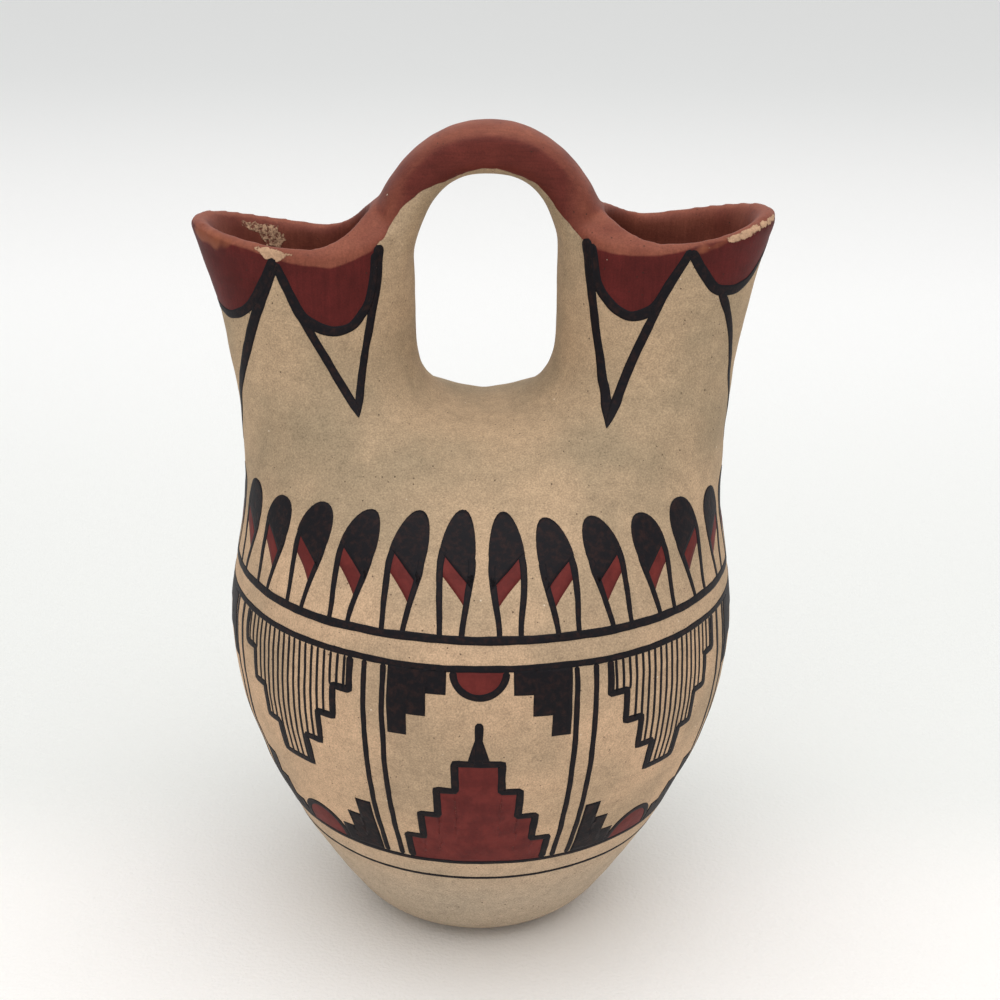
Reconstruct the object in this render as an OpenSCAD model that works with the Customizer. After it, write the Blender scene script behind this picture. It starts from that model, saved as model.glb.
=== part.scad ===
// Wedding vase: one fired clay vessel with a round belly, two pouring spouts and an arched
// handle that grows out of both mouths. The origin is at the centre of its flat foot, +Z is up
// and the front faces -Y.

/* [Foot] */
// Radius of the foot, over its rounded edge
foot_r = 28; // [22:0.5:34]
// Radius of the foot's rounded edge
foot_round = 8; // [2:0.5:10]
// Thickness of the clay above the foot
floor_t = 7; // [5:0.5:12]

/* [Belly] */
// Radius of the belly at its widest
belly_r = 63; // [56:0.5:70]
// Height of the belly's widest level
belly_h = 81; // [70:1:92]
// How fast the lower belly opens above the foot, 0 starts it upright
belly_opening = 1.65; // [1:0.05:2.6]

/* [Waist] */
// Half of the width at the waist, under the spouts
waist_half_w = 58.5; // [54:0.5:62]
// Height of the waist above the belly's widest level
waist_rise = 36; // [28:0.5:44]

/* [Spouts] */
// Height of the fork, where the spouts part, above the waist
fork_rise = 18.5; // [14:0.5:24]
// Half of the thickness of the saddle's rounded edge at the fork
fork_round = 6; // [4:0.5:8]
// Width of the gap between the spouts
gap_w = 33.6; // [28:0.2:40]
// Height over which the gap's round foot opens to its full width
gap_round_h = 17; // [13:0.5:21]
// Height above the fork at which the belly has narrowed to the depth of the spouts
neck_rise = 22.5; // [16:0.5:30]
// Depth of the spouts, front to back
spout_depth = 42; // [36:0.5:48]
// Distance of the left tip from the middle
left_reach = 70; // [66:0.5:73]
// Distance of the right tip from the middle
right_reach = 68; // [66:0.5:73]
// Height of the left tip above the fork
left_tip_rise = 44.5; // [42:0.5:52]
// Height of the right tip above the fork
right_tip_rise = 48; // [42:0.5:52]
// Height of the dip in the front of the left rim above the fork
left_dip_rise = 40.5; // [37:0.5:43.5]
// Height of the dip in the front of the right rim above the fork
right_dip_rise = 43; // [37:0.5:43.5]
// How much lower the left rim dips at the back
left_back_drop = 2; // [0:0.25:3]
// How much lower the right rim dips at the back
right_back_drop = 0.25; // [0:0.25:3]
// Height to which the rims rise beside the handle, above the fork
rim_root_rise = 48.5; // [45:0.5:53]

/* [Wall] */
// Thickness of the wall
wall = 4.5; // [3.5:0.25:6]
// Radius of the rounded lip, on its outer edge
lip_r = 2; // [1:0.25:2.5]
// Extra clay between each mouth and the gap, where the handle takes root
root_t = 7; // [4:0.5:9]

/* [Handle] */
// Height of the top of the handle above the fork
handle_rise = 67.5; // [62:0.5:74]
// Thickness of the handle at its middle
handle_t = 12; // [9:0.5:13]
// How far the top of the handle leans to the right
handle_lean = 0.8; // [-3:0.1:3]
// Width of the handle at its middle, front to back
handle_w = 18; // [14:0.5:22]
// Width of the handle at its roots, front to back
handle_root_w = 24; // [20:0.5:28]
// Distance between the outer faces of the handle at its roots
handle_span = 62; // [56:0.5:68]
// Height of the handle's roots above the fork, bedded in the walls beside the gap
handle_root_rise = 24.5; // [19:0.5:29]

/* [Wear] */
// Radius of the scoops that make the larger chips
chip_r = 3; // [2:0.25:4]
// How deep the larger chips bite into the lip
chip_depth = 1.2; // [0.5:0.1:1.5]
// Radius of the smallest nicks
nick_r = 0.9; // [0.5:0.1:1.2]

/* [Hidden] */

CLAY = "#c3a588";

// Points round each half of the body, and round the hollow in it
OUTER_POINTS = 40;
INNER_POINTS = 30;
// Stations along the handle, and the power that rounds its section and its two outlines
HANDLE_STATIONS = 22;
HANDLE_POINTS = 20;
SECTION_POWER = 2.4;
UNDERSIDE_POWER = 2.5;
BACK_POWER = 2.1;
// How fast the two ovals of the spouts run together below the fork
MERGE_POWER = 2.4;
// Powers of the curves of the gap's foot, of the spouts' flare and of the rim's sweep
GAP_POWER = 2.3;
FLARE_POWER = 2;
SWEEP_POWER = 1.7;
// How far the underside of the handle's roots is bedded behind the face of the gap
BEDDED = 1;
// Square of the distance within which the two halves count as meeting
MEETING = 0.000001;
// Cosine of the angle round a spout at which its rim dips lowest
DIP_COS = -0.25;

// Heights above the foot
waist_h = belly_h + waist_rise;
fork_h = waist_h + fork_rise;
neck_h = fork_h + neck_rise;
rim_root_h = fork_h + rim_root_rise;
handle_root_h = fork_h + handle_root_rise;
handle_top_h = fork_h + handle_rise;

// The two sides: reach and height of the tip, height of the dip, and its drop at the back
LEFT = [left_reach, fork_h + left_tip_rise, fork_h + left_dip_rise, left_back_drop];
RIGHT = [right_reach, fork_h + right_tip_rise, fork_h + right_dip_rise, right_back_drop];
function reach(side) = side[0];
function tip_h(side) = side[1];
function dip_h(side) = side[2];
function back_drop(side) = side[3];

function mix(from, to, t) = from + (to - from) * t;
function part_of(z, from, to) = min(max((z - from) / (to - from), 0), 1);
function ease(t) = t * t * (3 - 2 * t);
function slow_ease(t) = t * t * t * (t * (6 * t - 15) + 10);
function arc(t, power) = pow(1 - pow(1 - t, power), 1 / power);
function signed_pow(v, power) = sign(v) * pow(abs(v), power);

// Share of the way out from the foot to the belly, at a share of the way up
function lower_curve(t) = ease(t) + belly_opening * t * pow(1 - t, 2);

// How much the rounded edge of the foot takes off the radius
function foot_edge(z) = z < foot_round ? foot_round * (1 - arc(z / foot_round, 2)) : 0;

// Half width of the outside at height z
function half_w(z, side) =
    z < belly_h ? mix(foot_r, belly_r, lower_curve(z / belly_h)) - foot_edge(z)
    : z < waist_h ? mix(belly_r, waist_half_w, ease(part_of(z, belly_h, waist_h)))
    : mix(waist_half_w, reach(side), pow(part_of(z, waist_h, tip_h(side)), FLARE_POWER));

// Half depth of the outside at height z: round to the belly, then flattening into the spouts
function half_d(z) =
    z < belly_h ? half_w(z, LEFT)
    : mix(belly_r, spout_depth / 2, slow_ease(part_of(z, belly_h, neck_h)));

// The fork of the surface that lies inset under the outside
function fork(inset) = fork_h - inset;

// Share of the way down from the fork to the belly
function merged(z, inset) = 1 - part_of(z, belly_h, fork(inset));

// Radius that rounds the saddle, fading out towards the belly
function saddle(z, inset) = fork_round * (1 - pow(merged(z, inset), 2));

// Half width of the gap between the two surfaces above the fork
function gap_x(z, inset) =
    (gap_w / 2 + inset) * arc(part_of(z, fork(inset), fork(inset) + gap_round_h), GAP_POWER)
    + (inset > 0 ? root_t * pow(part_of(z, fork_h + gap_round_h, rim_root_h), 1.5) : 0);

// Inner end of a spout's oval: past the middle plane once the two ovals run together
function near_x(z, inset, side) =
    z > fork(inset) ? norm([gap_x(z, inset), fork_round])
    : mix(fork_round, -half_w(z, side) + inset, 1 - pow(1 - merged(z, inset), MERGE_POWER));

// Outer end of a spout's oval
function far_x(z, inset, side) = norm([half_w(z, side) - inset, saddle(z, inset)]);

// Point at an angle round a spout's oval, 0 towards the tip and -90 to the front
function oval_point(a, z, inset, side) =
    let (near = near_x(z, inset, side), far = far_x(z, inset, side))
    let (x = (far + near) / 2 + (far - near) / 2 * cos(a), k = saddle(z, inset))
    let (beyond = x * x - k * k)
    [beyond > MEETING ? sqrt(beyond) : 0, (half_d(z) - inset) * sin(a), z];

// Angle at which the oval meets the middle plane, or half a step short of the whole turn
function last_angle(z, inset, side, points) =
    let (near = near_x(z, inset, side), far = far_x(z, inset, side))
    let (met = (2 * saddle(z, inset) - near - far) / (far - near))
    acos(max(met, -cos(180 / points)));

function level_ring(z, inset, side, points) =
    let (last = last_angle(z, inset, side, points))
    [for (i = [0 : points - 1]) oval_point(mix(-last, last, i / (points - 1)), z, inset, side)];

// Height of the rim at an angle round a spout: high at the tip, low at the dip, high at the handle
function rim_h(a, side) =
    let (dip = dip_h(side) - back_drop(side) * max(sin(a), 0))
    cos(a) > DIP_COS
    ? mix(dip, tip_h(side), pow((cos(a) - DIP_COS) / (1 - DIP_COS), SWEEP_POWER))
    : mix(dip, rim_root_h, pow((DIP_COS - cos(a)) / (1 + DIP_COS), SWEEP_POWER));

// Ring part of the way up from the top of the gap's foot to the rim, which it follows more and more
function rim_ring(rise, drop, inset, side, points) =
    let (last = 180 - 180 / points)
    [for (i = [0 : points - 1])
        let (a = mix(-last, last, i / (points - 1)))
        oval_point(a, mix(fork(inset) + gap_round_h, rim_h(a, side) - drop, rise), inset, side)];

// Heights that crowd together round the fork
function fork_heights(inset) = concat(
    [for (a = [75 : -15 : 15]) fork(inset) - 2 * fork_round * (1 - cos(a))],
    [for (a = [0 : 15 : 75]) fork(inset) + gap_round_h * (1 - cos(a))]);

function steps(from, to, count) = [for (i = [0 : count - 1]) mix(from, to, i / count)];

// Closed solid through a stack of rings, with a flat foot and a crown that runs to a point
module loft(rings, crown) {
    n = len(rings[0]);
    top = (len(rings) - 1) * n;
    sides = [for (j = [0 : len(rings) - 2], i = [0 : n - 1])
        let (k = (i + 1) % n, low_i = j * n + i, low_k = j * n + k)
        each i < n / 2
            ? [[low_i, low_i + n, low_k + n], [low_i, low_k + n, low_k]]
            : [[low_i, low_i + n, low_k], [low_k, low_i + n, low_k + n]]];
    crowns = [for (i = [0 : n - 1]) [top + i, top + n, top + (i + 1) % n]];
    foot = [[for (i = [0 : n - 1]) i]];
    polyhedron(points = concat([for (r = rings) each r], [crown]), faces = concat(sides, crowns, foot));
}

// Solid outside of one half: half of the body, and its spout up to the rounded lip
module half_outside(side) {
    n = OUTER_POINTS;
    foot = [for (a = [0 : 15 : 75]) foot_round * (1 - cos(a))];
    heights = concat(foot, steps(foot_round, belly_h, 11), steps(belly_h, fork_h - 2 * fork_round, 7),
        fork_heights(0));
    body = [for (z = heights) level_ring(z, 0, side, n)];
    spout = [for (rise = [0 : 0.25 : 1]) rim_ring(rise, lip_r, 0, side, n)];
    lip = [for (a = [30, 60, 90]) rim_ring(1, lip_r * (1 - sin(a)), lip_r * (1 - cos(a)), side, n)];
    loft(concat(body, spout, lip), [(reach(side) + gap_w / 2) / 2, 0, dip_h(side) - 3 * lip_r]);
}

// Hollow of one half, flaring through the lip
module half_hollow(side) {
    n = INNER_POINTS;
    heights = concat(steps(floor_t, belly_h, 8), steps(belly_h, fork(wall) - 2 * fork_round, 5),
        fork_heights(wall));
    body = [for (z = heights) level_ring(z, wall, side, n)];
    throat = [for (rise = [0 : 0.25 : 1]) rim_ring(rise, 1.5 * lip_r, wall, side, n)];
    flare = [rim_ring(1, lip_r / 2, wall - lip_r / 3, side, n), rim_ring(1, -lip_r, wall / 3, side, n)];
    loft(concat(body, throat, flare), [(reach(side) + gap_w / 2) / 2, 0, handle_top_h]);
}

// Point on one of the handle's two outlines, seen from the front
function arch_point(a, reach, top_h, power) =
    [reach * signed_pow(cos(a), 2 / power), mix(handle_root_h, top_h, pow(sin(a), 2 / power))];

// Ring of points across the handle at an angle along its arch
function handle_ring(a) =
    let (under = arch_point(a, gap_w / 2 + BEDDED, handle_top_h - handle_t, UNDERSIDE_POWER))
    let (back = arch_point(a, handle_span / 2, handle_top_h, BACK_POWER))
    let (half_w = mix(handle_w, handle_root_w, pow(abs(cos(a)), 3)) / 2)
    [for (i = [0 : HANDLE_POINTS - 1])
        let (t = 360 * i / HANDLE_POINTS)
        let (place = mix(under, back, (1 + signed_pow(sin(t), 2 / SECTION_POWER)) / 2))
        [place.x + handle_lean * sin(a), half_w * signed_pow(cos(t), 2 / SECTION_POWER), place.y]];

module handle() {
    rings = [for (i = [HANDLE_STATIONS : -1 : 0]) handle_ring(180 * i / HANDLE_STATIONS)];
    loft(rings, [(gap_w + handle_span) / 4, 0, handle_root_h - lip_r]);
}

// Point a little above and outside the lip, at an angle round a spout
function over_lip(a, side, out) = oval_point(a, rim_h(a, side) + out, -out, side);

// A chip along the lip from one angle to another: a scoop that bites in by its depth
module lip_chip(from, to, side, ball_r, depth) {
    out = (ball_r - depth) / sqrt(2);
    hull() {
        translate(over_lip(from, side, out)) sphere(ball_r, $fn = 10);
        translate(over_lip(to, side, out)) sphere(ball_r, $fn = 10);
    }
}

// A short nick in the handle, at an angle along its arch and a share of its width from the middle
module handle_nick(a, aside) {
    top = arch_point(a, handle_span / 2, handle_top_h, BACK_POWER);
    hull() {
        translate([top.x, aside * handle_w, top.y]) sphere(nick_r, $fn = 10);
        translate([top.x + nick_r, aside * handle_w, top.y]) sphere(nick_r, $fn = 10);
    }
}

// Wear of the left rim: one broad chip in front
module left_wear() {
    lip_chip(-83, -77, LEFT, chip_r, chip_depth);
    lip_chip(-76, -70, LEFT, chip_r, chip_depth / 2);
}

// Wear of the right rim: a long chip beside the tip, two small ones, and two nicks by the handle
module right_wear() {
    lip_chip(-16, -28, RIGHT, chip_r, chip_depth / 2);
    lip_chip(-31, -44, RIGHT, chip_r, chip_depth * 0.75);
    lip_chip(-46, -56, RIGHT, chip_r, chip_depth);
    lip_chip(-67, -70, RIGHT, chip_r / 2, chip_depth / 2);
    lip_chip(-75, -78, RIGHT, chip_r / 2, chip_depth / 2);
    lip_chip(-111, -113, RIGHT, nick_r, nick_r / 2);
    lip_chip(-122, -124, RIGHT, nick_r, nick_r / 2);
}

// The whole vessel in one piece
module vase() {
    color(CLAY)
        difference() {
            union() {
                half_outside(RIGHT);
                mirror([1, 0, 0]) half_outside(LEFT);
                handle();
            }
            half_hollow(RIGHT);
            mirror([1, 0, 0]) half_hollow(LEFT);
            right_wear();
            mirror([1, 0, 0]) left_wear();
            handle_nick(112, 0.1);
        }
}

vase();
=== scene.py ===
import math
from functools import partial

import bpy
import numpy as np
from bpy.props import FloatProperty, FloatVectorProperty, IntProperty, PointerProperty
from mathutils import Matrix, Vector, noise
from mathutils.bvhtree import BVHTree


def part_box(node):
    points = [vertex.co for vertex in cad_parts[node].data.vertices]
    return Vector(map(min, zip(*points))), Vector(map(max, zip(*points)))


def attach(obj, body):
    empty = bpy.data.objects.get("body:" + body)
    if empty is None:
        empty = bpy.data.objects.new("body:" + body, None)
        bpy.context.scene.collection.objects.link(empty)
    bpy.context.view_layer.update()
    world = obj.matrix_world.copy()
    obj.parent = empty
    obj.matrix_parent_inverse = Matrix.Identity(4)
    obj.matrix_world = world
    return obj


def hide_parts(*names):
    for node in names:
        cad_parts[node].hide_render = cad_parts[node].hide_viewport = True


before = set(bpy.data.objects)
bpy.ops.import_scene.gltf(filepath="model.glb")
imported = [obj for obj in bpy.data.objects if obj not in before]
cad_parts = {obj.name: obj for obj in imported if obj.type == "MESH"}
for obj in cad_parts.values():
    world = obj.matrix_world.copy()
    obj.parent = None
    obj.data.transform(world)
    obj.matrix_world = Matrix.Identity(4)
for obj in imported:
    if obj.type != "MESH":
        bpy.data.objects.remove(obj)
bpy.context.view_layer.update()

bl_info = {
    "name": "Wedding vase",
    "version": (1, 0, 0),
    "blender": (4, 5, 0),
    "location": "3D View > Sidebar > Vase",
    "description": "Makes a painted clay wedding vase, its slip, its line work and its studio",
    "category": "Add Mesh",
}


def linear(colour):
    """Linear red, green and blue of an sRGB hex colour."""
    parts = [int(colour[i : i + 2], 16) / 255 for i in (1, 3, 5)]
    return tuple(c / 12.92 if c <= 0.04045 else ((c + 0.055) / 1.055) ** 2.4 for c in parts)


def swatch(name, description, colour):
    """Property for one colour."""
    return FloatVectorProperty(
        name=name, description=description, default=linear(colour), size=3, min=0, max=1, subtype="COLOR")


def amount(name, description, default, low, high, unit="NONE"):
    """Property for one number."""
    return FloatProperty(name=name, description=description, default=default, min=low, max=high, unit=unit)


# Places on the vase, in millimetres: the same values that shape its solid
WAIST_H, RIM_ROOT_H = 117.0, 184.0
WAIST_HALF_W, SPOUT_HALF_D, GAP_HALF_W, FORK_ROUND = 58.5, 21.0, 16.8, 6.0
DIP_COS, SWEEP = -0.25, 1.7
# A spout's middle line: its distance from the vase's at a height, and how much it leans outward
MIDDLE_OUT, MIDDLE_H, MIDDLE_LEAN = 38.8, 150.0, 0.1
# Reach of the tip, height of the tip and of the dip, and the dip's drop at the back: left and right
SPOUTS = {-1: (70.0, 180.0, 176.0, 2.0), 1: (68.0, 183.5, 178.5, 0.25)}

# Lower edge of the red slip round each spout: degrees from the tip, and height in millimetres
SCALLOPS = {
    -1: [(0, 160), (16, 160), (33, 159.3), (50, 162.3), (62, 168), (72, 174.2), (78, 167), (84, 161.6),
         (93, 158.9), (102, 157.7), (110.5, 157.9), (117, 158.9), (123, 161.1), (128, 163.5), (133, 169),
         (136, 176), (140, 177.5)],
    1: [(0, 177.5), (14, 173.5), (27, 169.5), (36, 168), (44, 167.5), (57, 168.5), (68, 172.9),
        (77.5, 177.6), (87, 170.3), (94, 165), (100, 163), (108, 162.1), (115, 162.8), (123, 164.7),
        (133, 169), (139, 176.3), (143, 178)],
}
# Lower edge of the lighter band along the lip, which is partly worn slip and partly a painted highlight where
# the lip faces up
LIP_BANDS = {
    -1: [(0, 179.3), (14, 179.1), (41, 177.3), (61.5, 175.7), (79, 173.8), (92, 173), (106, 172.4),
         (120, 173.7), (133, 175.3), (143, 177.6), (153, 180.7), (180, 184)],
    1: [(0, 182.6), (13, 182.3), (60, 179.9), (79, 177.9), (94.5, 176.7), (114.5, 176), (125, 176.1),
        (135, 176.5), (147, 178), (160, 182), (180, 186)],
}
# Edge between the red top of the handle and its bare underside: distance from the middle, and height
HANDLE_EDGES = {
    -1: [(0, 192.9), (1.7, 192.7), (7.2, 191.3), (11.7, 189.4), (15.6, 187.7), (18.8, 185.2), (22, 180.6),
         (23.4, 178), (25, 176.4), (30, 172)],
    1: [(0, 192.9), (3, 192.9), (7.5, 191.9), (11.7, 189.8), (14.1, 187.2), (15.7, 184.7), (19.6, 180.5),
        (21.9, 178.4), (25, 176.8), (30, 173)],
}
# Black lines of each spout's front: degrees from the tip, height and width; the back mirrors them
SPOUT_LINES = {
    -1: [
        [(0, 160, 1.9), (16, 160, 1.9), (33, 159.3, 2), (50, 162.3, 2.2), (62, 168, 2.3), (72, 174.4, 2)],
        [(72, 173.6, 2.2), (60, 164.6, 2.6), (46, 154.3, 2.9), (30, 142, 2.3), (16, 131.5, 1.8),
         (0, 122.5, 1)],
        [(72, 173.4, 2), (78, 167, 2.2), (84, 161.6, 2.4), (93, 158.9, 2.4), (102, 157.7, 2.3),
         (110.5, 157.9, 2.2), (117, 158.9, 2.2), (123, 161.1, 2.2), (128, 163.5, 2.2), (133, 169, 2.2),
         (136, 175, 2)],
        [(79, 165.6, 1.6), (84, 161.4, 1.9), (98.5, 149.6, 1.8), (105.8, 143.5, 2), (109.2, 140.3, 1.7),
         (109.7, 138.4, 0.3)],
        [(139.5, 176.6, 2.7), (134, 166.3, 2.4), (124, 154.2, 1.9), (114.3, 143.5, 1.9),
         (110.9, 140.3, 1.6), (109.8, 138.4, 0.3)],
    ],
    1: [
        [(144, 178.6, 3), (132.5, 160.8, 2.2), (121.8, 148.3, 2.4), (117.4, 144.9, 2.5), (113, 141, 2.4),
         (110.3, 138.6, 1.6), (109.7, 137, 0.3)],
        [(140, 177.6, 2.6), (133, 169, 2.3), (123, 164.7, 2.3), (115, 162.8, 2.3), (108, 162.1, 2.3),
         (100, 163, 2.3), (94, 165, 2.2), (87, 170.3, 2.2), (77.5, 177.8, 2)],
        [(89, 168.4, 1.6), (93, 164.2, 1.9), (98, 158.4, 2.1), (102, 154.1, 2.1), (104.9, 150.3, 2.2),
         (107.6, 144.9, 2.3), (108.9, 141, 2.2), (109.5, 138.6, 1.4), (109.7, 137, 0.3)],
        [(77.5, 177.6, 2.2), (68, 172.9, 2.4), (57, 168.5, 2.5), (44, 167.5, 2.4), (36, 168, 2.2),
         (27, 169.5, 1.9), (14, 173.5, 1.6), (0, 177.5, 1.4)],
        [(52, 167.5, 2.4), (37, 158.2, 1.9), (29, 150.5, 1.7), (25, 144.1, 1.5), (12, 133, 1.3),
         (0, 124, 1)],
    ],
}

# The painted band: its girth, the heights of its rings, its panels, and the steps and corners in them
BAND_RADIUS = 62.5
AROUND = 2 * math.pi * BAND_RADIUS
BAND_TOP, BAND_INNER_TOP, BAND_FOOT, BASE_RING = 98.4, 92.6, 36.3, 30.0
PANELS, STEP_RISE, CORNER_OUT, CORNER_HEIGHTS = 8, 8, 21, (16.5, 11, 5.5)
# The feathers: how many, half-width at the crest and at the root, height, and slant of the black tip
FEATHERS, FEATHER_HALF_W, ROOT_HALF_W, FEATHER_H, TIP_SLANT = 28, 5.2, 3.3, 22.5, 3.4


def ease(t):
    """Soft step from 0 to 1."""
    t = np.clip(t, 0, 1)
    return t * t * (3 - 2 * t)


def rim_height(side, a):
    """Height of a spout's rim at an angle round its oval, 0 at the tip and -90 in front, in degrees."""
    _, tip, dip, drop = SPOUTS[side]
    c = np.cos(np.radians(a))
    low = dip - drop * np.maximum(np.sin(np.radians(a)), 0)
    out = low + (tip - low) * (np.maximum(c - DIP_COS, 0) / (1 - DIP_COS)) ** SWEEP
    root = low + (RIM_ROOT_H - low) * (np.maximum(DIP_COS - c, 0) / (1 + DIP_COS)) ** SWEEP
    return np.where(c > DIP_COS, out, root)


def lip_point(side, a, down=0.9, inset=0.5):
    """Point on a spout's lip at an angle round its oval, a little under its edge, in millimetres."""
    reach, tip, _, _ = SPOUTS[side]
    z = float(rim_height(side, a)) - down
    half_w = WAIST_HALF_W + (reach - WAIST_HALF_W) * ((z - WAIST_H) / (tip - WAIST_H)) ** 2 - inset
    near, far = math.hypot(GAP_HALF_W + inset, FORK_ROUND), math.hypot(half_w, FORK_ROUND)
    x = (far + near) / 2 + (far - near) / 2 * math.cos(math.radians(a))
    y = (SPOUT_HALF_D - inset) * math.sin(math.radians(a))
    return Vector((side * math.sqrt(max(x * x - FORK_ROUND**2, 0)), y, z))


def spout_middle(z):
    """Distance of a spout's middle line from the vase's, in millimetres."""
    return MIDDLE_OUT + (z - MIDDLE_H) * MIDDLE_LEAN


def wavering(places, size, offset=0.0):
    """Smooth noise, about -1 to 1, at each place, with lumps of a size in millimetres."""
    return np.array([noise.noise(Vector(p) / size + Vector((offset, 0, 0))) for p in places]) * 1.6


def curved(points, smooth=True, count=14):
    """A line through points of any number of values, curved or straight, in many short steps."""
    p = np.array(points, float)
    if not smooth:
        t = np.linspace(0, len(p) - 1, (len(p) - 1) * count + 1)
        return np.stack([np.interp(t, np.arange(len(p)), p[:, k]) for k in range(p.shape[1])], 1)
    ends = np.vstack([2 * p[0] - p[1], p, 2 * p[-1] - p[-2]])
    out = []
    for a, b, c, d in zip(ends[:-3], ends[1:-2], ends[2:-1], ends[3:]):
        for t in np.arange(count) / count:
            out.append(0.5 * (2 * b + (c - a) * t + (2 * a - 5 * b + 4 * c - d) * t**2
                              + (3 * b - a - 3 * c + d) * t**3))
    return np.array(out + [p[-1]])


class Wall:
    """The clay's surface, on which paint is laid, in millimetres."""

    def __init__(self, obj):
        places = (corners(obj.data, np.float32) * 1000).tolist()
        self.tree = BVHTree.FromPolygons(places, [tuple(f.vertices) for f in obj.data.polygons])

    def belly(self, s, z):
        """Point on the belly at a distance round it from the middle of the front, and a height."""
        phi = s / BAND_RADIUS
        out = Vector((math.sin(phi), -math.cos(phi), 0))
        return self.met(out * 100 + Vector((0, 0, z)), -out)

    def spout(self, side, a, z):
        """Point on the outside of a spout at an angle round it from its tip, and a height."""
        middle = Vector((side * spout_middle(z), 0, z))
        out = Vector((side * math.cos(math.radians(a)), math.sin(math.radians(a)), 0))
        # Toward the gap the ray starts nearer, so that it doesn't meet the other spout first
        return self.met(middle + out * (45 if abs(a) < 126 else 28), -out)

    def met(self, start, way):
        """The first point of the clay on a way from a start."""
        hit = self.tree.ray_cast(start, way)[0]
        if hit is None:
            raise RuntimeError(f"no clay under the paint from {tuple(round(v, 1) for v in start)}")
        return hit

    def settle(self, place):
        """The nearest point of the clay, and the direction out of it."""
        hit, out, _, _ = self.tree.find_nearest(place)
        return hit, out


class Film:
    """Thin shapes of paint that lie on the clay, gathered into one mesh, in millimetres."""

    # Length of a stroke's pieces, size of an area's squares, and how deep the edges sink into the clay
    step, cell, skirt = 0.6, 0.9, 0.05

    def __init__(self, wall, lift, seed):
        self.wall, self.lift, self.seed = wall, lift, float(seed)
        self.points, self.faces, self.edge = [], [], []

    def put(self, place, height, edge):
        """Adds a point over the clay, and how far it lies inside the paint's edge."""
        hit, out = self.wall.settle(Vector(place))
        self.points.append(tuple(hit + out * height))
        self.edge.append(edge)
        return len(self.points) - 1

    def stroke(self, line, widths, blunt=True):
        """A brushed line through points on the clay, of an uneven width."""
        self.seed += 7.3
        line, widths = np.array([tuple(p) for p in line]), np.array(widths, float)
        run = np.concatenate([[0], np.cumsum(np.linalg.norm(np.diff(line, axis=0), axis=1))])
        at = np.linspace(0, run[-1], max(int(run[-1] / self.step), 2) + 1)
        line = np.stack([np.interp(at, run, line[:, k]) for k in range(3)], 1)
        widths = np.interp(at, run, widths)
        along = np.gradient(line, axis=0)
        rows = []
        for place, way, width, s in zip(line, along, widths, at):
            hit, out = self.wall.settle(Vector(place))
            across = out.cross(Vector(way)).normalized()
            half = width / 2 * (1 + 0.12 * noise.noise(Vector((s / 3, self.seed, 0))))
            shift = 0.14 * noise.noise(Vector((s / 7, 0, self.seed)))
            end = min(s, run[-1] - s)
            near = min(end / half + 0.1, 1) if blunt else 1
            half *= math.sqrt(1 - (1 - near) ** 2)
            row = []
            for share in (-1, -1, -0.55, 0, 0.55, 1, 1):
                low = len(row) in (0, 6)
                reach = share * (half + (self.skirt if low else 0))
                far = (1 - abs(share)) * half
                row.append(self.put(hit + across * (reach + shift), -self.skirt if low else self.lift,
                                    min(far, end) if blunt else far))
            rows.append(row)
        for one, two in zip(rows, rows[1:]):
            self.faces += [(one[k], one[k + 1], two[k + 1], two[k]) for k in range(6)]

    def area(self, low, high, place):
        """A filled shape between two lines of as many points, each a pair that place turns to a point."""
        self.seed += 3.1
        low, high = np.array(low, float), np.array(high, float)
        gap = np.linalg.norm(high - low, axis=1).max()
        count = max(int(gap / self.cell), 1) + 1
        t = np.linspace(0, 1, count)[:, None, None]
        grid = low * (1 - t) + high * t
        border = np.vstack([low, high, grid[:, 0], grid[:, -1]])
        ids, skirts = np.zeros(grid.shape[:2], int), {}
        for i in range(count):
            for j in range(grid.shape[1]):
                s, z = grid[i, j]
                far = float(np.linalg.norm(border - grid[i, j], axis=1).min())
                s += 0.16 * noise.noise(Vector((s / 6, z / 6, self.seed)))
                z += 0.16 * noise.noise(Vector((s / 6, z / 6, self.seed + 50)))
                spot = place(s, z)
                ids[i, j] = self.put(spot, self.lift, far)
                if i in (0, count - 1) or j in (0, grid.shape[1] - 1):
                    skirts[int(ids[i, j])] = self.put(spot, -self.skirt, 0.0)
        for i in range(count - 1):
            for j in range(grid.shape[1] - 1):
                self.faces.append((ids[i, j], ids[i, j + 1], ids[i + 1, j + 1], ids[i + 1, j]))
        ring = [*ids[0, :], *ids[1:, -1], *ids[-1, -2::-1], *ids[-2:0:-1, 0]]
        for a, b in zip(ring, ring[1:] + ring[:1]):
            self.faces.append((int(b), int(a), skirts[int(a)], skirts[int(b)]))

    def piece(self, name, material):
        """Makes the gathered paint a piece of the vase."""
        mesh = bpy.data.meshes.new(name)
        mesh.from_pydata([tuple(c / 1000 for c in p) for p in self.points], [],
                         [tuple(int(k) for k in f) for f in self.faces])
        mesh.validate()
        mesh.shade_smooth()
        mark(mesh, "edge", np.array(self.edge))
        return ready(name, mesh, material)


def films(made, *seeds):
    """The vase's wall, with a film for black paint on it and, with a second seed, one for red."""
    wall = Wall(bpy.data.objects["clay_body"])
    lifts = (made.black_film * 1000, made.red_film * 1000)
    return wall, *(Film(wall, lift, seed) for lift, seed in zip(lifts, seeds))


def corners(mesh, kind=float):
    """Places of a mesh's points."""
    co = np.empty(len(mesh.vertices) * 3, kind)
    mesh.vertices.foreach_get("co", co)
    return co.reshape(-1, 3)


def mark(mesh, name, values):
    """Gives each point of a mesh a value that its material reads."""
    mesh.attributes.new(name, "FLOAT", "POINT").data.foreach_set("value", values.astype(np.float32))


def placed(name, data):
    """A new object in the scene."""
    obj = bpy.data.objects.new(name, data)
    bpy.context.scene.collection.objects.link(obj)
    return obj


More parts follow.
